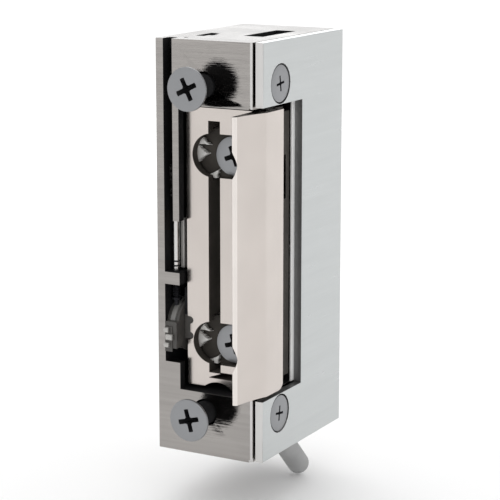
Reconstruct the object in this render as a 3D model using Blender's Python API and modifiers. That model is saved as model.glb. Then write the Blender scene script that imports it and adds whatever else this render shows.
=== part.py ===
"""Electric door strike with a swinging keeper, an adjustable lip, a coil-driven lock and a manual release.

Lengths are in millimetres here and become metres where the meshes are made.
+X is towards the cover plate, +Y goes back into the door frame and +Z is up.
The origin is the centre of the case's front face.
"""

import math

import bmesh
import bpy
from mathutils import Matrix, Vector

MM = 0.001
GAP = 0.3
PIN_GAP = 0.15

# Case: a shell that is open to the right, where the cover plate closes it.
CASE_LEFT, CASE_RIGHT = -8.5, 8.5
CASE_BACK = 27.7
HALF_HEIGHT = 33.0
WALL = 1.3
END_WALL = 1.7
BACK_WALL = 1.4
FRONT_PLATE = 1.5
BAY_HALF = 22.8
BAY_LEFT = -4.5
BAY_BACK = 13.7
DIVIDER_BACK = 14.4
# The bay's rear edge is turned forward beside the keeper.
BAY_RIM_LEFT, BAY_RIM_FRONT = 7.4, 13.15
INSIDE_LEFT = CASE_LEFT + WALL
# Recesses in the top, and the opening in the foot for the terminals, as (X, Y) corners.
TOP_RECESSES = (((1.96, 9.0), (5.46, 20.0)), ((-4.9, 5.9), (-3.3, 11.0)), ((-3.8, 7.4), (-2.6, 9.4)))
TOP_RECESS_DEPTH = 1.2
TOP_PINHOLE, TOP_PINHOLE_R = (-4.6, 2.65), 0.35
FOOT_OPENING = ((-6.6, 16.6), (4.2, 25.4))

# Side channel beside the keeper, with the manual release in it.
WINDOW_LOW, WINDOW_HIGH = -18.5, -6.3
BRIDGE_TOP = -3.9
STRIP_LOW = 4.4
SLOT_RIGHT = -5.6
TAB_LOW, TAB_HIGH, TAB_LEFT = 8.2, 13.3, -6.2
CHANNEL_BACK = 7.0

# Cover plate.
COVER_LEFT, COVER_RIGHT = CASE_RIGHT + GAP, 10.1
COVER_FRONT = 0.67
COVER_WINDOW_BACK = 13.48
COVER_WINDOW_HALF = 23.1

# Fixing screws.
MOUNT_Z = 26.0
MOUNT_HEAD_R, MOUNT_SHAFT_R = 3.65, 1.9
MOUNT_HEAD_Y, MOUNT_END_Y = -5.0, 11.5
COVER_SCREW_Y, COVER_SCREW_Z = 6.3, 26.3
COVER_HEAD_R, COVER_SHAFT_R = 2.9, 1.4

# Keeper: it swings on a vertical axle at the right rear of its bay.
KEEPER_X, KEEPER_Y = 5.66, 9.6
KEEPER_AXLE_R = 1.25
KEEPER_LEFT, KEEPER_RIGHT = -3.9, 8.5
KEEPER_FRONT, KEEPER_BACK = 5.9, 12.5
KEEPER_HALF = 21.4
KEEPER_AXLE_HALF = 27.0
KEEPER_SWEEP_R = 3.8
LOBE_ANGLE, LOBE_REACH, LOBE_R = 65.0, 4.8, 0.7
LOBE_LOW, LOBE_HIGH = -4.7, -1.3

# Strike lip: a plate across the bay and a wall that leans over the latch bolt.
LIP_FRONT, LIP_BACK = 1.8, 5.6
LIP_LEFT = -4.2
LIP_LOW, LIP_HIGH = -22.2, 22.4
LIP_WALL_IN = 7.9
LIP_WALL_OUT = 10.5
LIP_WALL_BACK = 6.75
LIP_CREASE = (10.5, 1.3)
LIP_TIP_OUT = (8.85, -5.4)
LIP_TIP_IN = (8.5, -5.5)
LIP_HOLE_Z = 15.0
LIP_HOLE_R = 3.43
LIP_HOLE_LEFT, LIP_HOLE_RIGHT = 0.36, 6.0
LIP_HOLE_DEPTH = 1.5
SLOT_LEFT, SLOT_RIGHT_EDGE = -0.2, 1.9
SLOT_LOW, SLOT_HIGH = -19.86, 20.4
INSERT_R = 3.9
LIP_SCREW_X = 3.65
LIP_HEAD_R, LIP_SCREW_R = 3.1, 1.5
LIP_HEAD_Y, LIP_SCREW_END = 2.9, 8.0

# Locking lever behind the divider, and its vertical axle.
LEVER_X, LEVER_Y = 5.0, 21.5
LEVER_LOW, LEVER_HIGH = -5.0, -1.0
LEVER_NOSE = (5.9, 15.3)
LEVER_TAIL_X = -2.0
LEVER_AXLE_R = 0.85
LUG_LEFT, LUG_RIGHT, LUG_FRONT = 2.6, 7.4, 19.3
LOW_LUG = (-6.9, -5.3)
HIGH_LUG = (1.3, 2.5)

# Coil with its yoke and hinged armature.
COIL_X, COIL_Y = 0.0, 20.2
COIL_LOW, COIL_HIGH = 7.2, 25.0
COIL_FLANGE_R, WINDING_R, CORE_R = 5.5, 4.8, 1.8
YOKE_LOW_Y, YOKE_HIGH_Y = 16.3, 24.8
YOKE_TOP = 26.8
YOKE_INNER, YOKE_OUTER = 6.7, 8.1
ARMATURE_X, ARMATURE_Z = 7.2, 4.5
ARMATURE_LOW, ARMATURE_HIGH = 4.0, 5.0
ARMATURE_LEFT = -5.0
ARMATURE_Y = (17.6, 23.5)
ARMATURE_AXLE_R = 0.4
RIVET_X, RIVET_Y = -3.4, 21.5
RIVET_R, RIVET_BORE_R = 0.5, 0.7

# Terminals in the foot of the case.
TERMINAL_X = (-3.9, 1.5)
TERMINAL_Z = -24.0
BLOCK_LEFT, BLOCK_RIGHT = -6.9, 4.5
BLOCK_LOW, BLOCK_HIGH = -31.0, -20.0
BLOCK_FRONT, BLOCK_BACK = 15.0, 25.9

# Outlet tongue: it leaves the foot of the case at 45 degrees, down and back.
TONGUE_R = 1.82
TONGUE_END = (6.1, 20.3, -39.3)
TONGUE_INNER = (6.1, 11.4, -30.4)

# Manual release: a cam drum on a cross axle lifts a plunger.
DRUM_Y, DRUM_Z = 4.6, -13.0
DRUM_LEFT, DRUM_RIGHT = -6.9, -4.85
DRUM_R, CAM_R = 3.9, 4.7
CAM_START, CAM_END, PAD_END = 143.0, 158.0, 215.0
KNOB_AXLE_R = 0.9
PAD_LEFT, PAD_FRONT, PAD_BACK = -6.95, -1.0, -0.4
PAD_RIB_TOP, PAD_RIB_PITCH, PAD_RIB_HALF = -13.3, 1.22, 0.4
PLUNGER_X, PLUNGER_Y = -6.25, 1.95
PLUNGER_R, PLUNGER_FOOT_R = 0.55, 0.35
PLUNGER_LOW, PLUNGER_SHOULDER, PLUNGER_TOP = -9.6, -6.0, 6.3
PLUNGER_GROOVES = (-2.25, -3.0)
CLIP_LOW, CLIP_HIGH, CLIP_R = -8.6, -8.25, 0.85

# Comb: two rounded teeth in a notch at the plate's left edge.
COMB_LEFT, COMB_BACK_X, COMB_TIP = -4.75, -3.7, -3.15
COMB_FRONT, COMB_BACK = 2.0, 3.0
TOOTH_Z, TOOTH_HALF = (-12.05, -14.4), 0.5

ROUND = 24
SMALL_ROUND = 16

COLOURS = {
    "case_steel": ((0.60, 0.58, 0.56), 1.0, 0.32),
    "cover_steel": ((0.72, 0.73, 0.73), 1.0, 0.38),
    "lip_steel": ((0.70, 0.67, 0.64), 1.0, 0.30),
    "dark_casting": ((0.06, 0.055, 0.05), 0.6, 0.5),
    "screw_zinc": ((0.45, 0.46, 0.48), 1.0, 0.4),
    "axle_steel": ((0.55, 0.55, 0.56), 1.0, 0.25),
    "spring_steel": ((0.50, 0.50, 0.50), 1.0, 0.3),
    "release_dark": ((0.12, 0.12, 0.12), 0.2, 0.5),
    "release_light": ((0.55, 0.54, 0.52), 0.3, 0.5),
    "soft_iron": ((0.40, 0.40, 0.41), 1.0, 0.45),
    "copper_wire": ((0.60, 0.25, 0.10), 1.0, 0.35),
    "bobbin_nylon": ((0.80, 0.78, 0.70), 0.0, 0.5),
    "terminal_nylon": ((0.05, 0.05, 0.05), 0.0, 0.5),
    "brass": ((0.70, 0.52, 0.22), 1.0, 0.35),
    "wire_red": ((0.55, 0.04, 0.03), 0.0, 0.45),
    "wire_black": ((0.03, 0.03, 0.03), 0.0, 0.45),
    "grey_moulding": ((0.25, 0.25, 0.25), 0.0, 0.5),
}


def clear_scene():
    for old in list(bpy.data.objects):
        bpy.data.objects.remove(old)


def new_collection(name):
    collection = bpy.data.collections.new(name)
    bpy.context.scene.collection.children.link(collection)
    return collection


clear_scene()
PARTS = new_collection("electric_door_strike")
CUTTERS = new_collection("cutters")
MATERIALS = {}
for slot, (colour, metallic, roughness) in COLOURS.items():
    shader_material = bpy.data.materials.new(slot)
    shader_material.use_nodes = True
    shader = shader_material.node_tree.nodes["Principled BSDF"]
    shader.inputs["Base Color"].default_value = (*colour, 1.0)
    shader.inputs["Metallic"].default_value = metallic
    shader.inputs["Roughness"].default_value = roughness
    MATERIALS[slot] = shader_material


def metres(point):
    return Vector(point) * MM


def add_object(name, mesh, slot=None):
    """A part where a material slot is given, and otherwise a cutter or a shape to be joined."""
    item = bpy.data.objects.new(name, mesh)
    if slot:
        PARTS.objects.link(item)
        mesh.materials.append(MATERIALS[slot])
    else:
        CUTTERS.objects.link(item)
        item.hide_render = True
        item.display_type = "WIRE"
    return item


def mesh_from(bm, name):
    bmesh.ops.recalc_face_normals(bm, faces=bm.faces)
    mesh = bpy.data.meshes.new(name)
    bm.to_mesh(mesh)
    bm.free()
    return mesh


def box(name, low, high, slot=None):
    """A block between its lowest and highest corners."""
    low, high = metres(low), metres(high)
    bm = bmesh.new()
    bmesh.ops.create_cube(bm, size=1.0)
    bmesh.ops.scale(bm, vec=high - low, verts=bm.verts)
    bmesh.ops.translate(bm, vec=(low + high) / 2, verts=bm.verts)
    return add_object(name, mesh_from(bm, name), slot)


def rod(name, start, end, radius, slot=None, end_radius=None, segments=ROUND):
    """A cylinder or a cone between two points."""
    start, end = metres(start), metres(end)
    along = end - start
    bm = bmesh.new()
    bmesh.ops.create_cone(
        bm,
        cap_ends=True,
        segments=segments,
        radius1=radius * MM,
        radius2=(radius if end_radius is None else end_radius) * MM,
        depth=along.length,
    )
    turn = along.to_track_quat("Z", "Y").to_matrix().to_4x4()
    bmesh.ops.transform(bm, matrix=Matrix.Translation((start + end) / 2) @ turn, verts=bm.verts)
    item = add_object(name, mesh_from(bm, name), slot)
    shade(item)
    return item


def shade(item):
    item.data.shade_smooth()
    item.data.set_sharp_from_angle(angle=math.radians(35))


def cut(item, *cutters):
    for cutter in cutters:
        modifier = item.modifiers.new("cut_" + cutter.name, "BOOLEAN")
        modifier.operation = "DIFFERENCE"
        modifier.object = cutter
    return item


def join(item, *shapes):
    for shape in shapes:
        modifier = item.modifiers.new("join_" + shape.name, "BOOLEAN")
        modifier.operation = "UNION"
        modifier.object = shape
    return item


def prism(name, outline, low, high, slot=None, axis="Z"):
    """A flat outline, in the plane across the axis, extruded between two levels along it."""
    curve = bpy.data.curves.new(name, "CURVE")
    curve.dimensions = "2D"
    curve.fill_mode = "BOTH"
    curve.extrude = (high - low) / 2 * MM
    spline = curve.splines.new("POLY")
    spline.points.add(len(outline) - 1)
    for point, (a, b) in zip(spline.points, outline):
        point.co = (a * MM, b * MM, 0.0, 1.0)
    spline.use_cyclic_u = True
    guide = bpy.data.objects.new(name + "_outline", curve)
    CUTTERS.objects.link(guide)
    bpy.context.view_layer.update()
    flat = guide.evaluated_get(bpy.context.evaluated_depsgraph_get())
    mesh = bpy.data.meshes.new_from_object(flat)
    bpy.data.objects.remove(guide)
    level = (low + high) / 2 * MM
    if axis == "X":
        # The outline's first number is Y and its second is Z.
        place = Matrix.Translation((level, 0, 0)) @ Matrix(((0, 0, 1), (1, 0, 0), (0, 1, 0))).to_4x4()
    elif axis == "Y":
        # The outline's first number is X and its second is Z.
        place = Matrix.Translation((0, level, 0)) @ Matrix(((1, 0, 0), (0, 0, -1), (0, 1, 0))).to_4x4()
    else:
        place = Matrix.Translation((0, 0, level))
    bm = bmesh.new()
    bm.from_mesh(mesh)
    bmesh.ops.remove_doubles(bm, verts=bm.verts, dist=1e-7)
    bmesh.ops.transform(bm, matrix=place, verts=bm.verts)
    bpy.data.meshes.remove(mesh)
    return add_object(name, mesh_from(bm, name), slot)


def arc(centre, radius, start, end, steps):
    """Points on an arc, from the start angle to the end angle in degrees."""
    angles = [math.radians(start + (end - start) * i / steps) for i in range(steps + 1)]
    return [(centre[0] + radius * math.cos(a), centre[1] + radius * math.sin(a)) for a in angles]


def obround(centre_a, centre_b, radius, steps=12):
    """The outline of a slot with round ends about two centres."""
    angle = math.degrees(math.atan2(centre_b[1] - centre_a[1], centre_b[0] - centre_a[0]))
    right = arc(centre_b, radius, angle - 90, angle + 90, steps)
    left = arc(centre_a, radius, angle + 90, angle + 270, steps)
    return right + left


def turned(name, profile, place, slot=None, steps=ROUND):
    """A profile of (radius, height) points, top to bottom, turned about its own axis."""
    mesh = bpy.data.meshes.new(name)
    points = [(r * MM, 0, z * MM) for r, z in profile]
    closed = profile[0][0] > 0
    edges = [(i, i + 1) for i in range(len(points) - 1)]
    if closed:
        edges.append((len(points) - 1, 0))
    mesh.from_pydata(points, edges, [])
    item = add_object(name, mesh, slot)
    item.matrix_world = place
    spin = item.modifiers.new("turn", "SCREW")
    spin.angle = math.tau
    spin.steps = steps
    spin.render_steps = steps
    spin.use_merge_vertices = True
    spin.merge_threshold = 0.00001
    spin.use_smooth_shade = False
    return item


def facing(point, direction, spin=0.0):
    """A placement whose own +Z points along a direction, turned about it by an angle in degrees."""
    turn = Vector(direction).to_track_quat("Z", "Y").to_matrix().to_4x4()
    return Matrix.Translation(metres(point)) @ turn @ Matrix.Rotation(math.radians(spin), 4, "Z")


def coil_spring(name, centre, radius, wire, low, high, turns, slot, leg=0.0):
    """A helix of round wire about a vertical axis, with an optional straight leg at each end."""
    per_turn = 10
    count = int(turns * per_turn)
    points = []
    for i in range(count + 1):
        angle = math.tau * i / per_turn
        height = low + wire + (high - low - 2 * wire) * i / count
        points.append((centre[0] + radius * math.cos(angle), centre[1] + radius * math.sin(angle), height))
    if leg:
        side = centre[0] + radius
        points = [(side, centre[1] - leg, low + wire)] + points + [(side, centre[1] + leg, high - wire)]
    return wire_curve(name, points, wire, slot)


def wire_curve(name, points, radius, slot):
    curve = bpy.data.curves.new(name, "CURVE")
    curve.dimensions = "3D"
    curve.bevel_depth = radius * MM
    curve.bevel_resolution = 2
    curve.use_fill_caps = True
    spline = curve.splines.new("POLY")
    spline.points.add(len(points) - 1)
    for point, place in zip(spline.points, points):
        point.co = (*metres(place), 1.0)
    item = bpy.data.objects.new(name, curve)
    PARTS.objects.link(item)
    curve.materials.append(MATERIALS[slot])
    return item


def cross_recess(name, place, reach, width, depth):
    """Two crossed slots below the top of a screw head, as one cutter."""
    bars = []
    for i, (a, b) in enumerate(((reach, width / 2), (width / 2, reach))):
        bar = box(f"{name}_bar_{i}", (-a, -b, -depth), (a, b, 1.0))
        bar.matrix_world = place
        bars.append(bar)
    return bars


def flat_screw(
    name, point, direction, head_r, rim, shaft_r, length, slot, spin=0.0, recess=1.6, recess_width=0.6
):
    """A countersunk screw whose flat head faces along the direction, with a crossed recess."""
    place = facing(point, direction, spin)
    cone = head_r - shaft_r
    profile = [(0, 0), (head_r, 0), (head_r, -rim), (shaft_r, -rim - cone), (shaft_r, -length), (0, -length)]
    screw = turned(name, profile, place, slot)
    return cut(screw, *cross_recess(name, place, recess, recess_width, 0.8))


def make_case():
    case = box("case", (CASE_LEFT, 0, -HALF_HEIGHT), (CASE_RIGHT, CASE_BACK, HALF_HEIGHT), "case_steel")
    far = CASE_RIGHT + 3
    rear_half = HALF_HEIGHT - END_WALL
    cut(
        case,
        box("keeper_bay", (INSIDE_LEFT, FRONT_PLATE, -BAY_HALF), (far, BAY_BACK, BAY_HALF)),
        box("front_opening", (BAY_LEFT, -1, -BAY_HALF), (far, 3, BAY_HALF)),
        box("rear_bay", (INSIDE_LEFT, DIVIDER_BACK, -rear_half), (far, CASE_BACK - BACK_WALL, rear_half)),
    )
    rim_low = (BAY_RIM_LEFT, BAY_RIM_FRONT, -BAY_HALF - 0.5)
    join(case, box("bay_rim", rim_low, (CASE_RIGHT, BAY_BACK + 0.3, BAY_HALF + 0.5)))
    cut(
        case,
        box(
            "nose_opening",
            (0, BAY_RIM_FRONT - 1, LOBE_LOW - 0.9),
            (far, DIVIDER_BACK + 1, LOBE_HIGH + 0.9),
        ),
        box("top_groove", (INSIDE_LEFT, -1, STRIP_LOW - 1), (SLOT_RIGHT, 2, HALF_HEIGHT + 1)),
        box("side_channel", (INSIDE_LEFT, -1, STRIP_LOW - 1), (SLOT_RIGHT, CHANNEL_BACK, rear_half)),
        box("open_channel", (INSIDE_LEFT, -1, BRIDGE_TOP), (BAY_LEFT + 1, 2, STRIP_LOW)),
        box("release_window", (INSIDE_LEFT, -1, WINDOW_LOW), (BAY_LEFT + 1, 2, WINDOW_HIGH)),
    )
    join(
        case,
        box("strip_tab", (TAB_LEFT, 0.1, TAB_LOW), (SLOT_RIGHT + 0.4, 1.3, TAB_HIGH)),
        box("bridge_block", (INSIDE_LEFT - 0.5, 0.4, WINDOW_HIGH), (BAY_LEFT - 0.1, 3.6, BRIDGE_TOP - 0.05)),
    )
    for i, (low, high) in enumerate((LOW_LUG, HIGH_LUG)):
        join(case, box(f"lug_{i}", (LUG_LEFT, LUG_FRONT, low), (LUG_RIGHT, CASE_BACK - 0.5, high)))
    cut(
        case,
        rod(
            "lever_bore",
            (LEVER_X, LEVER_Y, LOW_LUG[0] - 1),
            (LEVER_X, LEVER_Y, HIGH_LUG[1] + 1),
            LEVER_AXLE_R + PIN_GAP,
            segments=SMALL_ROUND,
        ),
        rod(
            "plunger_bore",
            (PLUNGER_X, PLUNGER_Y, WINDOW_HIGH - 1),
            (PLUNGER_X, PLUNGER_Y, BRIDGE_TOP + 1),
            PLUNGER_R + PIN_GAP,
            segments=SMALL_ROUND,
        ),
        rod(
            "knob_bore",
            (CASE_LEFT - 1, DRUM_Y, DRUM_Z),
            (INSIDE_LEFT + 1, DRUM_Y, DRUM_Z),
            KNOB_AXLE_R + PIN_GAP,
        ),
        rod("tongue_bore", TONGUE_INNER, (TONGUE_END[0], 17.0, -36.0), TONGUE_R + GAP),
        box("foot_opening", (*FOOT_OPENING[0], -HALF_HEIGHT - 1), (*FOOT_OPENING[1], -rear_half + 1)),
        rod(
            "top_pinhole",
            (*TOP_PINHOLE, HALF_HEIGHT - TOP_RECESS_DEPTH),
            (*TOP_PINHOLE, HALF_HEIGHT + 1),
            TOP_PINHOLE_R,
            segments=12,
        ),
    )
    for i, (low, high) in enumerate(TOP_RECESSES):
        cut(case, box(f"top_recess_{i}", (*low, HALF_HEIGHT - TOP_RECESS_DEPTH), (*high, HALF_HEIGHT + 1)))
    for side in (-1, 1):
        high = side * MOUNT_Z
        cut(
            case,
            rod(f"mount_bore_{side}", (0, -1, high), (0, 13, high), MOUNT_SHAFT_R + GAP),
            rod(
                f"cover_bore_{side}",
                (3, COVER_SCREW_Y, side * COVER_SCREW_Z),
                (far, COVER_SCREW_Y, side * COVER_SCREW_Z),
                COVER_SHAFT_R + GAP,
            ),
            rod(
                f"axle_bore_{side}",
                (KEEPER_X, KEEPER_Y, side * (BAY_HALF - 1)),
                (KEEPER_X, KEEPER_Y, side * (KEEPER_AXLE_HALF + GAP)),
                KEEPER_AXLE_R + PIN_GAP,
            ),
        )
    for i, x in enumerate(TERMINAL_X):
        cut(case, rod(f"terminal_access_{i}", (x, 25, TERMINAL_Z), (x, CASE_BACK + 1, TERMINAL_Z), 2.0))
    return case


def make_cover():
    cover = box(
        "cover_plate",
        (COVER_LEFT, COVER_FRONT, -HALF_HEIGHT),
        (COVER_RIGHT, CASE_BACK, HALF_HEIGHT),
        "cover_steel",
    )
    window_low = (COVER_LEFT - 1, COVER_FRONT - 2, -COVER_WINDOW_HALF)
    window_high = (COVER_RIGHT + 1, COVER_WINDOW_BACK, COVER_WINDOW_HALF)
    cut(cover, box("cover_window", window_low, window_high))
    for side, name in ((1, "top"), (-1, "bottom")):
        y, z = COVER_SCREW_Y, side * COVER_SCREW_Z
        seat_r = COVER_HEAD_R + 0.25
        cut(
            cover,
            rod(f"head_seat_{name}", (COVER_RIGHT + 0.5, y, z), (COVER_RIGHT - 1.0, y, z), seat_r),
            rod(f"cover_hole_{name}", (COVER_LEFT - 1, y, z), (COVER_RIGHT + 1, y, z), COVER_SHAFT_R + GAP),
        )
        place = facing((COVER_RIGHT - 0.05, y, z), (1, 0, 0), 8.0 * side)
        profile = [
            (0, 0),
            (COVER_HEAD_R, 0),
            (COVER_HEAD_R, -0.6),
            (COVER_SHAFT_R, -0.65),
            (COVER_SHAFT_R, -6.3),
            (0, -6.3),
        ]
        screw = turned(f"cover_screw_{name}", profile, place, "screw_zinc")
        cut(screw, *cross_recess(f"cover_screw_{name}", place, 1.1, 0.35, 0.45))
    return cover


def make_mounting_screws():
    for side, name, spin in ((1, "top", 26.0), (-1, "bottom", 15.0)):
        flat_screw(
            f"mounting_screw_{name}",
            (0, MOUNT_HEAD_Y, side * MOUNT_Z),
            (0, -1, 0),
            MOUNT_HEAD_R,
            0.3,
            MOUNT_SHAFT_R,
            MOUNT_END_Y - MOUNT_HEAD_Y,
            "screw_zinc",
            spin,
            recess=1.85,
        )


def make_keeper_base():
    outline = [(KEEPER_LEFT, KEEPER_FRONT), (KEEPER_RIGHT, KEEPER_FRONT)]
    # The rear corner is rounded about the axle, so that it clears the divider as the keeper swings.
    corner = math.degrees(math.acos((KEEPER_RIGHT - KEEPER_X) / KEEPER_SWEEP_R))
    rear = math.degrees(math.asin((KEEPER_BACK - KEEPER_Y) / KEEPER_SWEEP_R))
    outline += arc((KEEPER_X, KEEPER_Y), KEEPER_SWEEP_R, corner, rear, 4)
    outline += [(KEEPER_LEFT, KEEPER_BACK)]
    base = prism("keeper_base", outline, -KEEPER_HALF, KEEPER_HALF, "dark_casting")
    reach = LOBE_REACH
    tip = (
        KEEPER_X + reach * math.cos(math.radians(LOBE_ANGLE)),
        KEEPER_Y + reach * math.sin(math.radians(LOBE_ANGLE)),
    )
    lobe = prism("keeper_lobe", obround((KEEPER_X, KEEPER_Y + 0.8), tip, LOBE_R, 8), LOBE_LOW, LOBE_HIGH)
    join(base, lobe)
    cut(
        base,
        rod("keeper_bore", (KEEPER_X, KEEPER_Y, -25), (KEEPER_X, KEEPER_Y, 25), KEEPER_AXLE_R + PIN_GAP),
        rod("spring_pocket", (KEEPER_X, KEEPER_Y, 7.5), (KEEPER_X, KEEPER_Y, 14.5), 3.2),
    )
    for side in (-1, 1):
        z = side * LIP_HOLE_Z
        bore_front, bore_back = (LIP_SCREW_X, KEEPER_FRONT - 1, z), (LIP_SCREW_X, LIP_SCREW_END + GAP, z)
        cut(base, rod(f"lip_bore_{side}", bore_front, bore_back, LIP_SCREW_R + GAP))
    return base


def make_keeper_fittings():
    low, high = (KEEPER_X, KEEPER_Y, -KEEPER_AXLE_HALF), (KEEPER_X, KEEPER_Y, KEEPER_AXLE_HALF)
    rod("keeper_axle", low, high, KEEPER_AXLE_R, "axle_steel")
    ring = [(KEEPER_AXLE_R + 0.2, 0.5), (2.7, 0.5), (2.7, 0), (KEEPER_AXLE_R + 0.2, 0)]
    for name, z in (("top", KEEPER_HALF + GAP), ("bottom", -KEEPER_HALF - GAP - 0.5)):
        place = Matrix.Translation(metres((KEEPER_X, KEEPER_Y, z)))
        turned(f"keeper_bush_{name}", ring, place, "dark_casting")
    coil_spring("keeper_spring", (KEEPER_X, KEEPER_Y), 2.1, 0.3, 7.8, 14.2, 6, "spring_steel", leg=1.7)


def make_lip():
    """The plate and the leaning wall share one plan outline, drawn from the plate's front left corner."""
    inner = LIP_WALL_IN
    outline = [
        (LIP_LEFT, LIP_FRONT),
        (inner, LIP_FRONT),
        (inner, 0.2),
        (LIP_TIP_IN[0] - 0.5, LIP_TIP_IN[1] + 0.4),
        (LIP_TIP_IN[0] - 0.2, LIP_TIP_IN[1]),
        LIP_TIP_IN,
        LIP_TIP_OUT,
        LIP_CREASE,
        (LIP_WALL_OUT, LIP_WALL_BACK),
        (KEEPER_RIGHT + GAP, LIP_WALL_BACK),
        (KEEPER_RIGHT + GAP, LIP_BACK),
        (LIP_LEFT, LIP_BACK),
    ]
    lip = prism("keeper_lip", outline, LIP_LOW, LIP_HIGH, "lip_steel")
    pocket_back = LIP_BACK + 1
    for side in (-1, 1):
        z = side * LIP_HOLE_Z
        ends = ((LIP_HOLE_LEFT, z), (LIP_HOLE_RIGHT, z))
        cut(
            lip,
            prism(f"lip_hole_{side}", obround(*ends, LIP_HOLE_R), LIP_FRONT - 8, 4, axis="Y"),
            prism(
                f"insert_pocket_{side}",
                obround(*ends, INSERT_R + GAP),
                LIP_FRONT + LIP_HOLE_DEPTH,
                pocket_back,
                axis="Y",
            ),
        )
    front = LIP_FRONT - 1
    # The foot slot starts from a point under the long slot's end.
    foot_slot = [
        (SLOT_LEFT, SLOT_LOW - 0.85),
        (SLOT_RIGHT_EDGE - 0.4, SLOT_LOW - 0.1),
        (SLOT_RIGHT_EDGE - 0.4, SLOT_LOW + 0.2),
        (6.4, SLOT_LOW + 0.2),
        (6.4, SLOT_LOW - 0.9),
        (SLOT_LEFT, SLOT_LOW - 0.9),
    ]
    cut(
        lip,
        box("lip_slot", (SLOT_LEFT, front, SLOT_LOW), (SLOT_RIGHT_EDGE, pocket_back, SLOT_HIGH)),
        prism("lip_foot_slot", foot_slot, front, pocket_back, axis="Y"),
        rod("lip_relief", (1.36, front, -25.1), (1.36, pocket_back, -25.1), 3.75),
        box(
            "comb_notch",
            (LIP_LEFT - 1, front, min(TOOTH_Z) - TOOTH_HALF - 0.1),
            (COMB_BACK_X + 0.1, pocket_back, max(TOOTH_Z) + TOOTH_HALF + 0.1),
        ),
    )
    for i, z in enumerate(TOOTH_Z):
        low = (COMB_BACK_X, front, z - TOOTH_HALF - 0.1)
        high = (COMB_TIP + 0.1, pocket_back, z + TOOTH_HALF + 0.1)
        cut(lip, box(f"tooth_notch_{i}", low, high))
    return lip


def make_comb():
    """An arm down from the bridge, with two rounded teeth."""
    arm_right, top = COMB_LEFT + 0.4, WINDOW_HIGH - GAP
    outline = [(arm_right, top), (COMB_LEFT, top), (COMB_LEFT, min(TOOTH_Z) - TOOTH_HALF)]
    for z in reversed(TOOTH_Z):
        outline += arc((COMB_TIP - TOOTH_HALF, z), TOOTH_HALF, -90, 90, 8)
        outline.append((COMB_BACK_X, z + TOOTH_HALF))
        if z != max(TOOTH_Z):
            outline.append((COMB_BACK_X, max(TOOTH_Z) - TOOTH_HALF))
    outline.append((arm_right, max(TOOTH_Z) + TOOTH_HALF))
    return prism("release_comb", outline, COMB_FRONT, COMB_BACK, "release_dark", axis="Y")


def make_lip_fittings():
    for side, name, spin in ((1, "top", 20.0), (-1, "bottom", 15.0)):
        z = side * LIP_HOLE_Z
        insert = prism(
            f"clamp_insert_{name}",
            obround((LIP_HOLE_LEFT, z), (LIP_HOLE_RIGHT, z), INSERT_R, 12),
            LIP_FRONT + LIP_HOLE_DEPTH + GAP,
            LIP_BACK - 0.05,
            "lip_steel",
            "Y",
        )
        slot = obround((LIP_SCREW_X - 2.2, z), (LIP_SCREW_X + 0.4, z), 1.9, 12)
        dish = obround((LIP_SCREW_X - 2.4, z), (LIP_SCREW_X + 0.6, z), LIP_HEAD_R + 0.25, 12)
        cut(
            insert,
            prism(f"insert_slot_{name}", slot, 2, 7, axis="Y"),
            prism(f"insert_dish_{name}", dish, 2, 4.9, axis="Y"),
        )
        washer = [(1.75, 0.25), (2.6, 0.25), (2.6, 0), (1.75, 0)]
        turned(f"lock_washer_{name}", washer, facing((LIP_SCREW_X, 4.85, z), (0, -1, 0)), "spring_steel")
        place = facing((LIP_SCREW_X, LIP_HEAD_Y, z), (0, -1, 0), spin)
        end = LIP_HEAD_Y - LIP_SCREW_END
        profile = [(0, 0), (LIP_HEAD_R, 0), (LIP_HEAD_R, -0.5), (LIP_SCREW_R, -1.4)]
        profile += [(LIP_SCREW_R, end), (0, end)]
        screw = turned(f"lip_screw_{name}", profile, place, "screw_zinc")
        cut(screw, *cross_recess(f"lip_screw_{name}", place, 1.8, 0.6, 0.8))


def make_lever():
    levels = (LEVER_LOW, LEVER_HIGH)
    centre = (LEVER_X, LEVER_Y)
    lever = prism("locking_lever", arc(centre, 2.0, 0, 345, 23), *levels, "soft_iron")
    join(
        lever,
        prism("lever_nose", obround(centre, LEVER_NOSE, LOBE_R, 8), *levels),
        prism("lever_tail", obround(centre, (LEVER_TAIL_X, LEVER_Y), 0.8, 8), *levels),
    )
    cut(lever, rod("lever_eye", (*centre, -8), (*centre, 4), LEVER_AXLE_R + PIN_GAP, segments=SMALL_ROUND))
    rod("lever_axle", (*centre, -7.2), (*centre, 2.8), LEVER_AXLE_R, "axle_steel", segments=SMALL_ROUND)
    coil_spring("lever_spring", centre, 1.35, 0.2, -0.75, 1.05, 3, "spring_steel", leg=1.4)


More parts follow.
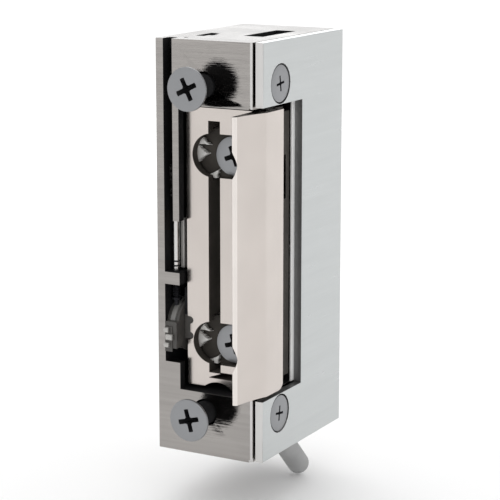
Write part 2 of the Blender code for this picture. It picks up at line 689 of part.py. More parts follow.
def make_coil():
    cx, cy = COIL_X, COIL_Y
    bobbin = [
        (CORE_R + GAP, COIL_HIGH),
        (COIL_FLANGE_R, COIL_HIGH),
        (COIL_FLANGE_R, COIL_HIGH - 1),
        (CORE_R + 0.9, COIL_HIGH - 1),
        (CORE_R + 0.9, COIL_LOW + 1),
        (COIL_FLANGE_R, COIL_LOW + 1),
        (COIL_FLANGE_R, COIL_LOW),
        (CORE_R + GAP, COIL_LOW),
    ]
    turned("coil_bobbin", bobbin, Matrix.Translation(metres((cx, cy, 0))), "bobbin_nylon")
    inner = CORE_R + 0.9 + GAP
    top, bottom = COIL_HIGH - 1 - GAP, COIL_LOW + 1 + GAP
    winding = [(inner, top), (WINDING_R, top), (WINDING_R, bottom), (inner, bottom)]
    turned("coil_winding", winding, Matrix.Translation(metres((cx, cy, 0))), "copper_wire")
    core = rod("coil_core", (cx, cy, 5.3), (cx, cy, COIL_HIGH + 0.3), CORE_R, "soft_iron")
    cut(core, rod("core_thread", (cx, cy, 19), (cx, cy, 30), 1.2, segments=SMALL_ROUND))
    yoke_front, yoke_back = YOKE_LOW_Y, YOKE_HIGH_Y
    low, high = (-2.6, yoke_front, YOKE_TOP - 1.2), (YOKE_OUTER, yoke_back, YOKE_TOP)
    yoke = box("magnet_yoke", low, high, "soft_iron")
    ear = 1.0
    join(yoke, box("yoke_leg", (YOKE_INNER, yoke_front, 6.2), (YOKE_OUTER, yoke_back, YOKE_TOP - 0.5)))
    for i, low in enumerate((yoke_front, yoke_back - ear)):
        join(yoke, box(f"yoke_ear_{i}", (6.3, low, 3.6), (YOKE_OUTER - 0.01, low + ear, 7.0)))
    cut(
        yoke,
        rod("yoke_hole", (cx, cy, 24), (cx, cy, 28), 1.2, segments=SMALL_ROUND),
        rod(
            "yoke_ear_bore",
            (ARMATURE_X, yoke_front - 1, ARMATURE_Z),
            (ARMATURE_X, yoke_back + 1, ARMATURE_Z),
            ARMATURE_AXLE_R + PIN_GAP,
            segments=12,
        ),
    )
    screw = [(0, 28.4), (2.0, 28.4), (2.0, YOKE_TOP + GAP), (0.95, YOKE_TOP + GAP), (0.95, 20), (0, 20)]
    place = Matrix.Translation(metres((cx, cy, 0)))
    yoke_screw = turned("yoke_screw", screw, place, "screw_zinc", SMALL_ROUND)
    cut(yoke_screw, box("yoke_screw_slot", (cx - 3, cy - 0.25, 27.8), (cx + 3, cy + 0.25, 29)))


def make_armature():
    front, back = ARMATURE_Y
    low, high = (ARMATURE_LEFT, front, ARMATURE_LOW), (ARMATURE_X - 0.8, back, ARMATURE_HIGH)
    plate = box("armature_plate", low, high, "soft_iron")
    ends = (ARMATURE_X, front, ARMATURE_Z), (ARMATURE_X, back, ARMATURE_Z)
    barrel = rod("armature_barrel", *ends, 0.85, segments=SMALL_ROUND)
    join(plate, barrel, box("barrel_web", (6.0, front, 4.15), (ARMATURE_X, back, 4.85)))
    axle_front, axle_back = YOKE_LOW_Y - 0.3, YOKE_HIGH_Y + 0.3
    cut(
        plate,
        rod(
            "armature_bore",
            (ARMATURE_X, front - 1, ARMATURE_Z),
            (ARMATURE_X, back + 1, ARMATURE_Z),
            ARMATURE_AXLE_R + PIN_GAP,
            segments=12,
        ),
        rod("rivet_bore", (RIVET_X, RIVET_Y, 3), (RIVET_X, RIVET_Y, 6), RIVET_BORE_R, segments=12),
    )
    rod(
        "armature_axle",
        (ARMATURE_X, axle_front, ARMATURE_Z),
        (ARMATURE_X, axle_back, ARMATURE_Z),
        ARMATURE_AXLE_R,
        "axle_steel",
        segments=12,
    )
    finger = box("armature_finger", (-4.4, 20.4, 3.1), (-0.8, 23.5, 3.7), "soft_iron")
    join(finger, box("finger_leg", (-1.8, 22.6, -0.6), (-0.8, 23.5, 3.4)))
    cut(finger, rod("finger_bore", (RIVET_X, RIVET_Y, 2), (RIVET_X, RIVET_Y, 6), RIVET_BORE_R, segments=12))
    head_r = 2 * RIVET_R
    rivet = [(0, 5.7), (head_r, 5.7), (head_r, 5.3), (RIVET_R, 5.3)]
    rivet += [(RIVET_R, 2.8), (head_r, 2.8), (head_r, 2.4), (0, 2.4)]
    turned("armature_rivet", rivet, Matrix.Translation(metres((RIVET_X, RIVET_Y, 0))), "axle_steel", 12)
    coil_spring("armature_spring", (-3.6, 18.7), 0.75, 0.14, 5.2, 6.95, 4, "spring_steel")


def make_terminals():
    block = box(
        "terminal_block",
        (BLOCK_LEFT, BLOCK_FRONT, BLOCK_LOW),
        (BLOCK_RIGHT, BLOCK_BACK, BLOCK_HIGH),
        "terminal_nylon",
    )
    for x, name in zip(TERMINAL_X, ("left", "right")):
        cage_low, cage_high = (x - 2, 18, -27), (x + 2, 23, -21)
        pocket_low = [value - GAP for value in cage_low]
        cut(
            block,
            box(f"cage_pocket_{name}", pocket_low, (x + 2 + GAP, 23 + GAP, BLOCK_HIGH + 1)),
            rod(f"wire_entry_{name}", (x, 20.5, BLOCK_LOW - 1), (x, 20.5, -26), 1.4, segments=SMALL_ROUND),
            rod(f"screw_way_{name}", (x, 22, TERMINAL_Z), (x, BLOCK_BACK + 1, TERMINAL_Z), 1.9),
        )
        cage = box(f"terminal_clamp_{name}", cage_low, cage_high, "brass")
        cut(
            cage,
            box(f"cage_inside_{name}", (x - 1.4, 18.8, -28), (x + 1.4, 22, -20)),
            rod(f"cage_thread_{name}", (x, 21, TERMINAL_Z), (x, 24, TERMINAL_Z), 1.2, segments=SMALL_ROUND),
        )
        place = facing((x, 25.7, TERMINAL_Z), (0, 1, 0))
        profile = [(0, 0), (1.65, 0), (1.65, -1.4), (0.95, -1.4), (0.95, -5.6), (0, -5.6)]
        screw = turned(f"terminal_screw_{name}", profile, place, "screw_zinc", SMALL_ROUND)
        slot = box(f"terminal_slot_{name}", (-2.5, -0.25, -0.6), (2.5, 0.25, 1))
        slot.matrix_world = place @ Matrix.Rotation(math.radians(35 if name == "left" else -20), 4, "Z")
        cut(screw, slot)
    leads = (("red", 17.6, TERMINAL_X[0], "wire_red"), ("black", 23.9, TERMINAL_X[1], "wire_black"))
    for name, y, x_end, slot in leads:
        start = Vector((-6.3, y, 9.5))
        route = [start, Vector((-6.3, y, -12.0)), Vector((x_end, 20.4, -16.5)), Vector((x_end, 20.4, -20.6))]
        wire_curve(f"lead_wire_{name}", rounded_route(route, 2.2), 0.4, slot)


def rounded_route(corners, radius, steps=6):
    """The corners of a route, each rounded off by a short curve."""
    points = [tuple(corners[0])]
    for before, corner, after in zip(corners, corners[1:], corners[2:]):
        arrive = corner + (before - corner).normalized() * radius
        leave = corner + (after - corner).normalized() * radius
        for i in range(steps + 1):
            t = i / steps
            points.append(tuple(arrive * (1 - t) ** 2 + corner * 2 * t * (1 - t) + leave * t**2))
    points.append(tuple(corners[-1]))
    return points


def make_tongue():
    """A round bar with a ball end, turned about its own slanted axis."""
    direction = Vector(TONGUE_END) - Vector(TONGUE_INNER)
    angles = [math.radians(11.25 * i) for i in range(9)]
    ball = [(TONGUE_R * math.sin(angle), TONGUE_R * math.cos(angle)) for angle in angles]
    ball[0] = (0, TONGUE_R)
    ball[-1] = (TONGUE_R, 0)
    profile = ball + [(TONGUE_R, -direction.length), (0, -direction.length)]
    turned("outlet_tongue", profile, facing(TONGUE_END, direction), "grey_moulding")


def make_release():
    outline = []
    steps = 36
    for i in range(steps):
        angle = CAM_START + 360.0 * i / steps
        if angle <= CAM_END:
            radius = DRUM_R + (CAM_R - DRUM_R) * (angle - CAM_START) / (CAM_END - CAM_START)
        elif angle <= PAD_END:
            radius = CAM_R
        else:
            radius = DRUM_R
        turn = math.radians(angle)
        outline.append((DRUM_Y + radius * math.cos(turn), DRUM_Z + radius * math.sin(turn)))
    drum = prism("release_knob", outline, DRUM_LEFT, DRUM_RIGHT, "release_dark", "X")
    axle_low, axle_high = (DRUM_LEFT - 1, DRUM_Y, DRUM_Z), (DRUM_RIGHT + 1, DRUM_Y, DRUM_Z)
    cut(drum, rod("drum_bore", axle_low, axle_high, KNOB_AXLE_R + PIN_GAP, segments=SMALL_ROUND))
    place = Matrix.Translation(metres((-4.45, DRUM_Y, DRUM_Z))) @ Matrix.Rotation(math.radians(90), 4, "Y")
    pin = [(0, 0), (1.5, 0), (1.5, -0.2), (KNOB_AXLE_R, -0.2), (KNOB_AXLE_R, -3.9), (0, -3.9)]
    turned("knob_axle", pin, place, "axle_steel", SMALL_ROUND)
    pad_low = PAD_RIB_TOP - 2 * PAD_RIB_PITCH - 0.95
    low, high = (PAD_LEFT, PAD_BACK - 0.15, pad_low), (-5.6, PAD_BACK, PAD_RIB_TOP + 0.7)
    pad = box("release_pad", low, high, "release_light")
    for i, right in enumerate((-6.1, -5.45, -6.1)):
        z = PAD_RIB_TOP - PAD_RIB_PITCH * i
        low, high = (PAD_LEFT, PAD_FRONT, z - PAD_RIB_HALF), (right, PAD_BACK - 0.05, z + PAD_RIB_HALF)
        join(pad, box(f"pad_rib_{i}", low, high))
    bar = box("plunger_guide", (-5.9, 2.7, BRIDGE_TOP + GAP), (-5.2, 3.4, 5.0), "release_light")
    cut(bar, slanted_top_cutter())
    make_plunger()


def make_plunger():
    groove_r = PLUNGER_R - 0.15
    profile = [(0, PLUNGER_TOP), (PLUNGER_R - 0.1, PLUNGER_TOP), (PLUNGER_R, PLUNGER_TOP - 0.1)]
    for z in PLUNGER_GROOVES:
        profile += [(PLUNGER_R, z), (groove_r, z), (groove_r, z - 0.25), (PLUNGER_R, z - 0.25)]
    profile += [
        (PLUNGER_R, PLUNGER_SHOULDER),
        (PLUNGER_FOOT_R, PLUNGER_SHOULDER),
        (PLUNGER_FOOT_R, PLUNGER_LOW),
        (0, PLUNGER_LOW),
    ]
    place = Matrix.Translation(metres((PLUNGER_X, PLUNGER_Y, 0)))
    turned("plunger_pin", profile, place, "axle_steel", SMALL_ROUND)
    inner = PLUNGER_FOOT_R + 0.1
    clip = [(inner, CLIP_HIGH), (CLIP_R, CLIP_HIGH), (CLIP_R, CLIP_LOW), (inner, CLIP_LOW)]
    turned("plunger_clip", clip, place, "spring_steel", SMALL_ROUND)
    spring_low, spring_high = CLIP_HIGH + 0.05, WINDOW_HIGH - 0.2
    centre = (PLUNGER_X, PLUNGER_Y)
    coil_spring("plunger_spring", centre, 0.62, 0.12, spring_low, spring_high, 5, "spring_steel")


def slanted_top_cutter():
    wedge = box("guide_slant", (-8, 1, 0), (-3, 5, 3))
    tilt = Matrix.Rotation(math.radians(-30), 4, "Y")
    wedge.matrix_world = Matrix.Translation(metres((-5.9, 0, 4.1))) @ tilt
    wedge.data.transform(Matrix.Translation(metres((5.9, 0, 0))))
    return wedge


make_case()
make_cover()
make_mounting_screws()
make_keeper_base()
make_keeper_fittings()
make_lip()
make_lip_fittings()
make_lever()
make_coil()
make_armature()
make_terminals()
make_tongue()
make_release()
make_comb()
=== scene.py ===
"""Looks of the electric door strike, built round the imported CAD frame.

Lengths are in millimetres, in the frame's own axes: +X is the cover's side, -Y the face that shows and +Z up.
"""

import math

import bmesh
import bpy
from mathutils import Matrix, Vector


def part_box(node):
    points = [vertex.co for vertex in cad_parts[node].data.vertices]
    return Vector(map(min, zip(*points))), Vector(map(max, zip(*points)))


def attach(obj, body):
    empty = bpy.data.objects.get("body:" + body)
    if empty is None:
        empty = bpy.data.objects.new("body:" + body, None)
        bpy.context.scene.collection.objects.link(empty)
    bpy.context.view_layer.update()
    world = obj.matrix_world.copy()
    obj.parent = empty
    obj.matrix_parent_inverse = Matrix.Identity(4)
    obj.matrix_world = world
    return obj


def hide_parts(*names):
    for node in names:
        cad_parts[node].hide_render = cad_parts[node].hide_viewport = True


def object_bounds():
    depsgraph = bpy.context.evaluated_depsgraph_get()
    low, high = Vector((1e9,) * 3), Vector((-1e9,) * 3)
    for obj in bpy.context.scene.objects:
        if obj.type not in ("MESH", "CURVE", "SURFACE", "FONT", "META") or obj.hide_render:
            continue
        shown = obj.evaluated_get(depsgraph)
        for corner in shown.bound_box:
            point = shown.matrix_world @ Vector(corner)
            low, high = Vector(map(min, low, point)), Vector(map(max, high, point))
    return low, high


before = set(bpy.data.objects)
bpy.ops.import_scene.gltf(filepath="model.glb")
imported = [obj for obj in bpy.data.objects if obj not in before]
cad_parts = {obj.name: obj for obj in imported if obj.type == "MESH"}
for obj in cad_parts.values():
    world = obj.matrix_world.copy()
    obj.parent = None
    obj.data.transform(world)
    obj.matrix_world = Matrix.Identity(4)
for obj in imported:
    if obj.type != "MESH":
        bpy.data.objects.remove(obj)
CAD_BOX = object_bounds()

MM = 0.001


class Box:
    """A CAD node's box at rest, in millimetres."""

    def __init__(self, node):
        low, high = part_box(node)
        self.low, self.high = low / MM, high / MM
        self.centre = (self.low + self.high) / 2
        self.size = self.high - self.low


CASE = Box("case")
COVER = Box("cover_plate")
LIP = Box("keeper_lip")
DRUM = Box("release_knob")
PAD = Box("release_pad")
PLUNGER = Box("plunger_pin")
COMB = Box("release_comb")


# Materials ----------------------------------------------------------------------------------------


class Recipe:
    """A Principled material whose detail comes from noise in the object's own millimetres."""

    def __init__(self, name, colour, metallic, roughness, **sockets):
        self.material = bpy.data.materials.new(name)
        self.material.use_nodes = True
        self.tree = self.material.node_tree
        self.shader = self.tree.nodes["Principled BSDF"]
        self.colour, self.roughness = colour, roughness
        self.set(Base_Color=(*colour, 1.0), Metallic=metallic, Roughness=roughness, **sockets)
        self.place = self.tree.nodes.new("ShaderNodeTexCoord").outputs["Object"]
        self.bump = None

    def set(self, **sockets):
        for name, value in sockets.items():
            self.shader.inputs[name.replace("_", " ")].default_value = value

    def link(self, output, name):
        self.tree.links.new(output, self.shader.inputs[name])

    def node(self, kind, links, **settings):
        node = self.tree.nodes.new("ShaderNode" + kind)
        for name, value in settings.items():
            setattr(node, name, value)
        for socket, value in links.items():
            if isinstance(value, bpy.types.NodeSocket):
                self.tree.links.new(value, node.inputs[socket])
            else:
                node.inputs[socket].default_value = value
        return node

    def noise(self, size, detail=3.0, rough=0.55):
        """Noise between 0 and 1 whose grains are about `size` mm along X, Y and Z."""
        scale = [1.0 / (MM * length) for length in size]
        place = self.node("Mapping", {"Vector": self.place, "Scale": scale}, vector_type="POINT")
        sockets = {"Vector": place.outputs[0], "Scale": 1.0, "Detail": detail, "Roughness": rough}
        return self.node("TexNoise", sockets).outputs["Fac"]

    def ramp(self, factor, low, high):
        """The factor's middle stretch spread between two numbers."""
        spread = {"Value": factor, "From Min": 0.3, "From Max": 0.7, "To Min": low, "To Max": high}
        return self.node("MapRange", spread).outputs["Result"]

    def tint(self, factor, low, high):
        """The base colour made darker or lighter, between two factors of itself."""
        grey = self.ramp(factor, low, high)
        mixed = self.node("VectorMath", {0: self.colour, 1: grey}, operation="MULTIPLY")
        self.link(mixed.outputs[0], "Base Color")
        return self

    def vary(self, factor, spread):
        """Roughness that wanders either side of its own value."""
        self.link(self.ramp(factor, self.roughness - spread, self.roughness + spread), "Roughness")
        return self

    def relief(self, factor, depth, strength=1.0):
        """Bumps of that depth in millimetres, on top of any already there."""
        sockets = {"Height": factor, "Distance": depth * MM, "Strength": strength}
        if self.bump:
            sockets["Normal"] = self.bump
        self.bump = self.node("Bump", sockets).outputs["Normal"]
        self.link(self.bump, "Normal")
        return self

    def brushed(self, across, amount):
        """A highlight drawn out across the brush lines."""
        self.set(Anisotropic=amount)
        spaces = {"vector_type": "VECTOR", "convert_from": "OBJECT", "convert_to": "WORLD"}
        turned = self.node("VectorTransform", {"Vector": across}, **spaces)
        self.link(turned.outputs[0], "Tangent")
        return self


def brushed_steel(name, colour, roughness, lines, depth, shade):
    """Steel ground in long lines along X: each line has its own slope, tone and gloss."""
    steel = Recipe(name, colour, 1.0, roughness)
    fine = steel.noise(lines, detail=4.0)
    broad = steel.noise([length * 3 for length in lines], detail=2.0)
    steel.tint(broad, *shade).vary(fine, 0.05).relief(fine, depth)
    return steel.brushed((0.0, 1.0, 1.0), 0.3).material


def satin_metal(name, colour, roughness, grain=0.08, depth=0.002, shade=(0.97, 1.03), metallic=1.0):
    """A plated or blasted surface with a fine even grain and a soft cloudiness."""
    metal = Recipe(name, colour, metallic, roughness)
    fine = metal.noise([grain] * 3)
    cloud = metal.noise([6.0] * 3, detail=2.0)
    return metal.tint(cloud, *shade).vary(cloud, 0.03).relief(fine, depth).material


def cast_metal(name, colour):
    metal = Recipe(name, colour, 0.35, 0.55)
    pits = metal.noise([0.35] * 3, detail=5.0, rough=0.65)
    cloud = metal.noise([5.0] * 3)
    return metal.tint(cloud, 0.8, 1.2).vary(pits, 0.08).relief(pits, 0.02).material


def dull_painted_shade_and_light(name, colour):
    """A dull surface with next to no reflection. Its colour is painted: the dark ones are painted shade
    inside a hollow, and the pale one is painted light on the keeper base's front.
    """
    dull = Recipe(name, colour, 0.0, 0.75, Specular_IOR_Level=0.12)
    cloud = dull.noise([3.0] * 3)
    return dull.tint(cloud, 0.85, 1.15).relief(dull.noise([0.3] * 3), 0.008).material


def moulded(name, colour, roughness=0.5, shade=(0.93, 1.07), grain=0.12):
    """Moulded plastic with a spark-eroded texture."""
    plastic = Recipe(name, colour, 0.0, roughness)
    fine = plastic.noise([grain] * 3)
    cloud = plastic.noise([4.0] * 3, detail=2.0)
    return plastic.tint(cloud, *shade).vary(fine, 0.06).relief(fine, 0.006).material


def make_materials():
    return {
        "case_steel": brushed_steel(
            "case_steel", (0.355, 0.337, 0.322), 0.08,
            lines=(12.0, 12.0, 0.3), depth=0.035, shade=(0.93, 1.07),
        ),
        "cover_steel": brushed_steel(
            "cover_steel", (0.535, 0.553, 0.553), 0.32,
            lines=(12.0, 12.0, 0.4), depth=0.002, shade=(0.985, 1.015),
        ),
        "lip_steel": satin_metal("lip_steel", (0.62, 0.57, 0.535), 0.2),
        "insert_steel": satin_metal(
            "insert_steel", (0.96, 0.95, 0.92), 0.5, shade=(0.94, 1.04), metallic=0.1
        ),
        "dark_casting": cast_metal("dark_casting", (0.045, 0.040, 0.034)),
        "screw_zinc": satin_metal(
            "screw_zinc", (0.31, 0.315, 0.325), 0.42, grain=0.15, depth=0.005, shade=(0.95, 1.05)
        ),
        "axle_steel": satin_metal("axle_steel", (0.66, 0.65, 0.64), 0.22, grain=0.1),
        # Near black: a dark spring steel, darkened further as painted shade under the bridge.
        "spring_steel": satin_metal("spring_steel", (0.025, 0.025, 0.028), 0.5, grain=0.1),
        "release_dark": moulded("release_dark", (0.072, 0.068, 0.063)),
        "release_light": satin_metal(
            "release_light", (0.50, 0.49, 0.47), 0.42, grain=0.12, depth=0.004, metallic=0.5
        ),
        "soft_iron": satin_metal(
            "soft_iron", (0.42, 0.42, 0.43), 0.42, grain=0.2, depth=0.006, shade=(0.9, 1.1)
        ),
        "copper_wire": satin_metal("copper_wire", (0.62, 0.24, 0.09), 0.28, shade=(0.85, 1.1)),
        "bobbin_nylon": moulded("bobbin_nylon", (0.74, 0.71, 0.62)),
        "terminal_nylon": moulded("terminal_nylon", (0.035, 0.035, 0.036)),
        "brass": satin_metal("brass", (0.72, 0.52, 0.22), 0.3, shade=(0.9, 1.08)),
        "wire_red": moulded("wire_red", (0.50, 0.03, 0.02), 0.35),
        "wire_black": moulded("wire_black", (0.02, 0.02, 0.02), 0.35),
        "grey_moulding": moulded("grey_moulding", (0.37, 0.37, 0.37), 0.55),
        # Colours of single faces within a piece. All but the window walls' and the knob's band are painted
        # shade or painted light.
        # Near black: painted shade on the case's hollow insides and on the comb's arm above its teeth.
        "inside_painted_shade": dull_painted_shade_and_light("inside_painted_shade", (0.014, 0.014, 0.015)),
        # A darker metal on the cover's window walls.
        "cut_edge": satin_metal("cut_edge", (0.21, 0.21, 0.21), 0.45, metallic=0.8),
        # Near black: painted shade in the screws' cross recesses, in the plunger's ring grooves and on its
        # foot under the bridge.
        "recess_painted_shade": dull_painted_shade_and_light("recess_painted_shade", (0.028, 0.028, 0.032)),
        # Darker still: painted shade on the screws' cones and shanks under their heads.
        "under_head_painted_shade": dull_painted_shade_and_light("under_head_painted_shade", (0.016, 0.016, 0.017)),
        # Dark: painted shade on the lip's bore walls and on the inserts between their teeth.
        "bore_painted_shade": dull_painted_shade_and_light("bore_painted_shade", (0.075, 0.068, 0.060)),
        # Pale: painted light on the dark keeper base's front faces, which show through the lip's slot and
        # holes.
        "base_front_painted_light": dull_painted_shade_and_light("base_front_painted_light", (0.80, 0.75, 0.70)),
        # Brighter than the steel: a painted highlight on the case's rounded front edge, and painted light on
        # the cover's front edge.
        "edge_painted_light": satin_metal("edge_painted_light", (0.66, 0.65, 0.64), 0.3),
        # Near white: painted light on a strip beside the cover's window.
        "rim_painted_light": satin_metal("rim_painted_light", (0.95, 0.95, 0.94), 0.6, metallic=0.1),
        # Paler than the lip: a painted highlight on the lip's nose.
        "nose_painted_highlight": satin_metal("nose_painted_highlight", (0.84, 0.79, 0.75), 0.3),
        "knob_band": moulded("knob_band", (0.24, 0.235, 0.225), 0.45),
    }


MATERIALS = make_materials()


# Shapes -------------------------------------------------------------------------------------------


def bm_of_node(node):
    """A CAD node's mesh with its split corners welded and its flat faces made whole."""
    bm = bmesh.new()
    bm.from_mesh(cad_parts[node].data)
    bmesh.ops.remove_doubles(bm, verts=bm.verts, dist=0.002 * MM)
    bmesh.ops.dissolve_limit(bm, angle_limit=math.radians(0.6), verts=bm.verts, edges=bm.edges)
    return bm


def add_piece(name, bm, body, slot, replaces=(), sharp=35.0, extra=()):
    """The finished mesh as a piece on its body, in its slot's material except where it is painted."""
    mesh = bpy.data.meshes.new(name)
    bm.to_mesh(mesh)
    bm.free()
    for finish in (slot, *extra):
        mesh.materials.append(MATERIALS[finish])
    mesh.shade_smooth()
    mesh.set_sharp_from_angle(angle=math.radians(sharp))
    mesh = with_flat_shading_led(mesh)
    mesh.name = name
    piece = bpy.data.objects.new(name, mesh)
    bpy.context.scene.collection.objects.link(piece)
    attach(piece, body)
    if replaces:
        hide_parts(*replaces)
    return piece


def with_flat_shading_led(mesh):
    """The mesh with its normals led by its large flat faces, so that a rounded edge doesn't shade them."""
    item = bpy.data.objects.new("shape", mesh)
    bpy.context.scene.collection.objects.link(item)
    modifier = item.modifiers.new("normals", "WEIGHTED_NORMAL")
    modifier.weight = 100
    modifier.keep_sharp = True
    bpy.context.view_layer.update()
    led = bpy.data.meshes.new_from_object(item.evaluated_get(bpy.context.evaluated_depsgraph_get()))
    bpy.data.objects.remove(item)
    return led


def solid(bm):
    """A closed mesh that faces outwards, as an object for a Boolean."""
    bmesh.ops.recalc_face_normals(bm, faces=bm.faces)
    mesh = bpy.data.meshes.new("shape")
    bm.to_mesh(mesh)
    bm.free()
    item = bpy.data.objects.new("shape", mesh)
    bpy.context.scene.collection.objects.link(item)
    return item


def combined(item, others, operation="DIFFERENCE"):
    """The item's mesh after a Boolean with each of the others. All of the objects are used up."""
    for other in others:
        modifier = item.modifiers.new("with", "BOOLEAN")
        modifier.operation = operation
        modifier.solver = "EXACT"
        modifier.object = other
    bpy.context.view_layer.update()
    mesh = bpy.data.meshes.new_from_object(item.evaluated_get(bpy.context.evaluated_depsgraph_get()))
    for used in (item, *others):
        bpy.data.objects.remove(used)
    return mesh


def bm_of_mesh(mesh):
    bm = bmesh.new()
    bm.from_mesh(mesh)
    bmesh.ops.remove_doubles(bm, verts=bm.verts, dist=0.0005 * MM)
    return bm


def outline_solid(outline, low, high, axis="Z"):
    """A flat outline extruded along an axis.

    Its numbers are (X, Y) for axis Z, (X, Z) for axis Y and (Y, Z) for axis X.
    """
    bm = bmesh.new()
    place = {
        "X": lambda a, b, level: (level, a, b),
        "Y": lambda a, b, level: (a, level, b),
        "Z": lambda a, b, level: (a, b, level),
    }[axis]
    rings = []
    for level in (low, high):
        rings.append([bm.verts.new(Vector(place(a, b, level)) * MM) for a, b in outline])
    bm.faces.new(rings[0])
    bm.faces.new(rings[1][::-1])
    count = len(outline)
    for i in range(count):
        j = (i + 1) % count
        bm.faces.new((rings[0][j], rings[0][i], rings[1][i], rings[1][j]))
    bmesh.ops.recalc_face_normals(bm, faces=bm.faces)
    return bm


def block(low, high):
    (x0, y0, z0), (x1, y1, z1) = low, high
    return outline_solid([(x0, y0), (x1, y0), (x1, y1), (x0, y1)], z0, z1)


def arc(centre, radius, start, end, steps=10):
    """Points on an arc, from the start angle to the end angle in degrees."""
    angles = [math.radians(start + (end - start) * i / steps) for i in range(steps + 1)]
    return [(centre[0] + radius * math.cos(a), centre[1] + radius * math.sin(a)) for a in angles]


def obround(left, right, level, radius, steps=24):
    """The outline of a slot with round ends, between two centres on one level."""
    ends = arc((right, level), radius, -90, 90, steps), arc((left, level), radius, 90, 270, steps)
    return ends[0] + ends[1]


def bow(start, end, sag, steps=12):
    """Points from start to end on a shallow parabola that bulges to the left of the line by `sag`."""
    start, end = Vector(start), Vector(end)
    side = Vector((start.y - end.y, end.x - start.x)).normalized()
    points = []
    for i in range(steps + 1):
        t = i / steps
        points.append(tuple(start.lerp(end, t) + side * sag * 4 * t * (1 - t)))
    return points


def lathe(rows, place, segments=48, radius_at=None):
    """A closed turned body from rows of (radius, height), top to bottom, about its own +Z.

    radius_at(radius, height, turn) can change a radius with the angle, as a thread does.
    """
    bm = bmesh.new()
    rings = []
    for radius, height in rows:
        if radius == 0:
            rings.append([bm.verts.new((0, 0, height * MM))])
            continue
        ring = []
        for i in range(segments):
            turn = math.tau * i / segments
            r = radius_at(radius, height, turn) if radius_at else radius
            ring.append(bm.verts.new((r * math.cos(turn) * MM, r * math.sin(turn) * MM, height * MM)))
        rings.append(ring)
    for upper, lower in zip(rings, rings[1:]):
        for i in range(segments):
            j = (i + 1) % segments
            above = upper[i % len(upper)], upper[j % len(upper)]
            below = lower[i % len(lower)], lower[j % len(lower)]
            unique = list(dict.fromkeys([above[0], *below, above[1]]))
            if len(unique) > 2:
                bm.faces.new(unique)
    bmesh.ops.recalc_face_normals(bm, faces=bm.faces)
    bmesh.ops.transform(bm, matrix=place, verts=bm.verts)
    return bm


def facing(point, direction, spin=0.0):
    """A placement whose own +Z points along a direction, turned about it by an angle in degrees."""
    turn = Vector(direction).to_track_quat("Z", "Y").to_matrix().to_4x4()
    return Matrix.Translation(Vector(point) * MM) @ turn @ Matrix.Rotation(math.radians(spin), 4, "Z")


def soften(bm, width, chosen, segments=2):
    """Rounds the chosen convex edges."""
    bm.edges.ensure_lookup_table()
    edges = [edge for edge in bm.edges if len(edge.link_faces) == 2 and chosen(edge)]
    if edges:
        bmesh.ops.bevel(
            bm, geom=edges, offset=width * MM, offset_type="OFFSET", segments=segments, profile=0.5,
            affect="EDGES", clamp_overlap=True,
        )
    return bm


def is_corner(edge, least_length, angle=50.0):
    """A convex edge between two faces that meet at more than an angle."""
    return (
        edge.is_convex
        and edge.calc_length() > least_length * MM
        and edge.calc_face_angle(0.0) > math.radians(angle)
    )


def middle(edge):
    return (edge.verts[0].co + edge.verts[1].co) / 2 / MM


def spans(edge):
    return (edge.verts[0].co - edge.verts[1].co) / MM


def paint(bm, index, chosen):
    """Gives the chosen faces one of the piece's extra colours, most of which are painted shade or painted
    light.
    """
    for face in bm.faces:
        if chosen(face, face.calc_center_bounds() / MM, face.normal):
            face.material_index = index


# The lip's round-ended holes, and the comb's teeth in its notch.
HOLE_LEVEL, HOLE_ENDS, HOLE_R = 15.0, (0.36, 5.43), 3.43
COMB_TOOTH_HALF = 0.5
COMB_LEVELS = (COMB.low.z + COMB_TOOTH_HALF + 0.1, COMB.low.z + COMB_TOOTH_HALF + 2.65)
COMB_SPINE_RIGHT = COMB.high.x - 0.55


# Sheet metal and castings -------------------------------------------------------------------------


